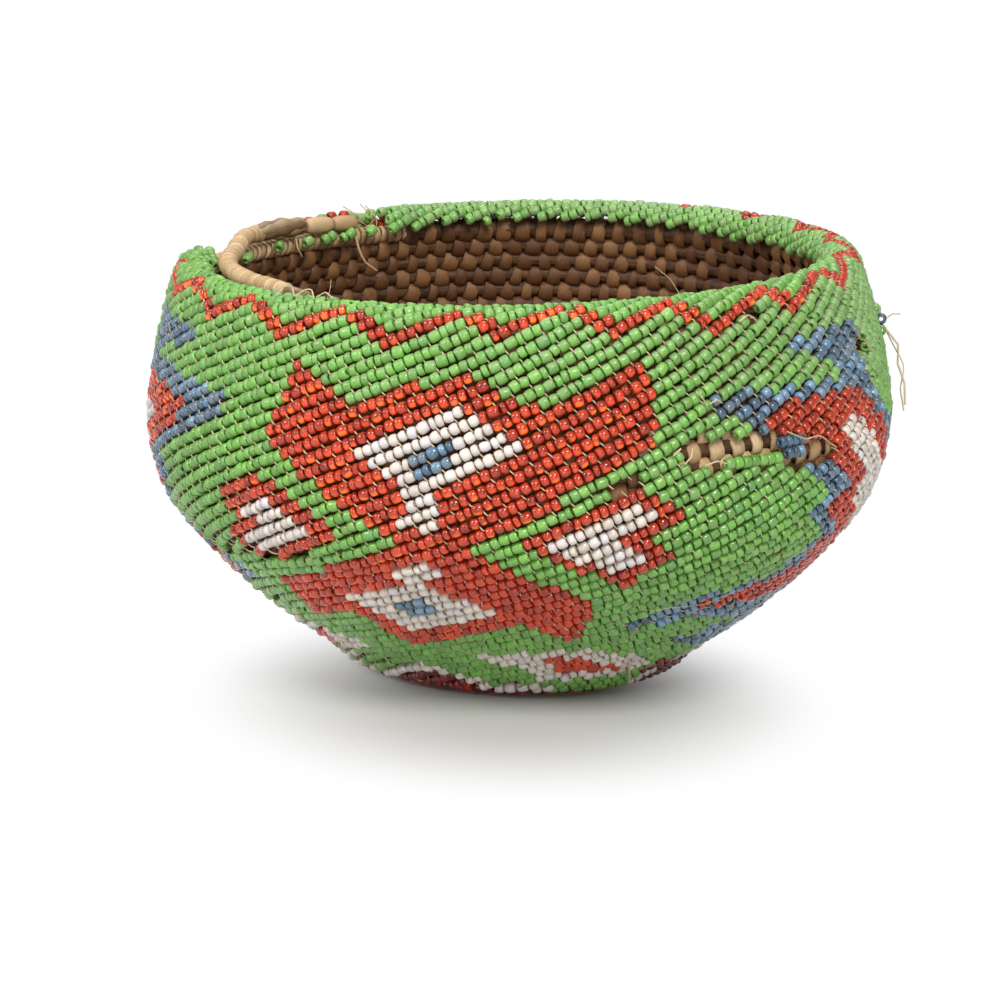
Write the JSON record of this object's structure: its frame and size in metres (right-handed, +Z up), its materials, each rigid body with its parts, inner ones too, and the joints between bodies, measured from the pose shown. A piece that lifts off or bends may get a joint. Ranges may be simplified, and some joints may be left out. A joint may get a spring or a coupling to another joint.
{
  "type": "beaded coiled basket",
  "caption": "Bowl-shaped basket of coiled willow, covered outside in a net of glass seed beads with geometric figures that folds over the rim.",
  "frame": {"origin": "middle of the flat base, on the surface that the basket stands on", "axes": "+Z up through the mouth, -Y towards the front with the paired wing figures, +X to the basket's right as seen in the picture"},
  "size_m": [0.14, 0.1398, 0.0816],
  "materials": {
    "green_beads": "opaque glossy green glass beads on pale thread",
    "red_beads": "glossy deep red glass beads that glow orange",
    "white_beads": "pearly white glass beads",
    "blue_beads": "glossy steel blue glass beads",
    "maroon_beads": "glossy dark maroon glass beads",
    "willow": "aged brown split willow over rods",
    "rim_willow": "pale bare wrapped willow"
  },
  "bodies": {
    "root": {"base_coil_1": "willow", "base_coil_2": "willow", "coil_tail": "rim_willow", "field_green": "green_beads", "foot_border_red": "maroon_beads", "foot_border_white": "white_beads", "foot_lens_left_red_back": "red_beads", "foot_lens_left_red_front": "red_beads", "foot_lens_left_white_back": "white_beads", "foot_lens_left_white_front": "white_beads", "foot_lens_right_red_back": "red_beads", "foot_lens_right_red_front": "red_beads", "foot_lens_right_white_back": "white_beads", "foot_lens_right_white_front": "white_beads", "heart_left_red_back": "red_beads", "heart_left_red_front": "red_beads", "heart_left_white_back": "white_beads", "heart_left_white_front": "white_beads", "heart_right_red_back": "red_beads", "heart_right_red_front": "red_beads", "heart_right_white_back": "white_beads", "heart_right_white_front": "white_beads", "loose_blue_strand": "blue_beads", "loose_green_strand": "green_beads", "net_base": "red_beads", "rim_coil": "rim_willow", "rim_edge_green": "green_beads", "rim_fold_green": "green_beads", "rim_teeth_red": "red_beads", "star_blue_back": "blue_beads", "star_blue_front": "blue_beads", "star_red_back": "red_beads", "star_red_front": "red_beads", "star_white_back": "white_beads", "star_white_front": "white_beads", "start_knot": "willow", "wall_coil_01": "willow", "wall_coil_02": "willow", "wall_coil_03": "willow", "wall_coil_04": "willow", "wall_coil_05": "willow", "wall_coil_06": "willow", "wall_coil_07": "willow", "wall_coil_08": "willow", "wing_lower_blue_back": "blue_beads", "wing_lower_blue_front": "blue_beads", "wing_lower_red_back": "red_beads", "wing_lower_red_front": "red_beads", "wing_lower_white_back": "white_beads", "wing_lower_white_front": "white_beads", "wing_upper_blue_back": "blue_beads", "wing_upper_blue_front": "blue_beads", "wing_upper_red_back": "red_beads", "wing_upper_red_front": "red_beads", "wing_upper_white_back": "white_beads", "wing_upper_white_front": "white_beads"}
  },
  "joints": []
}
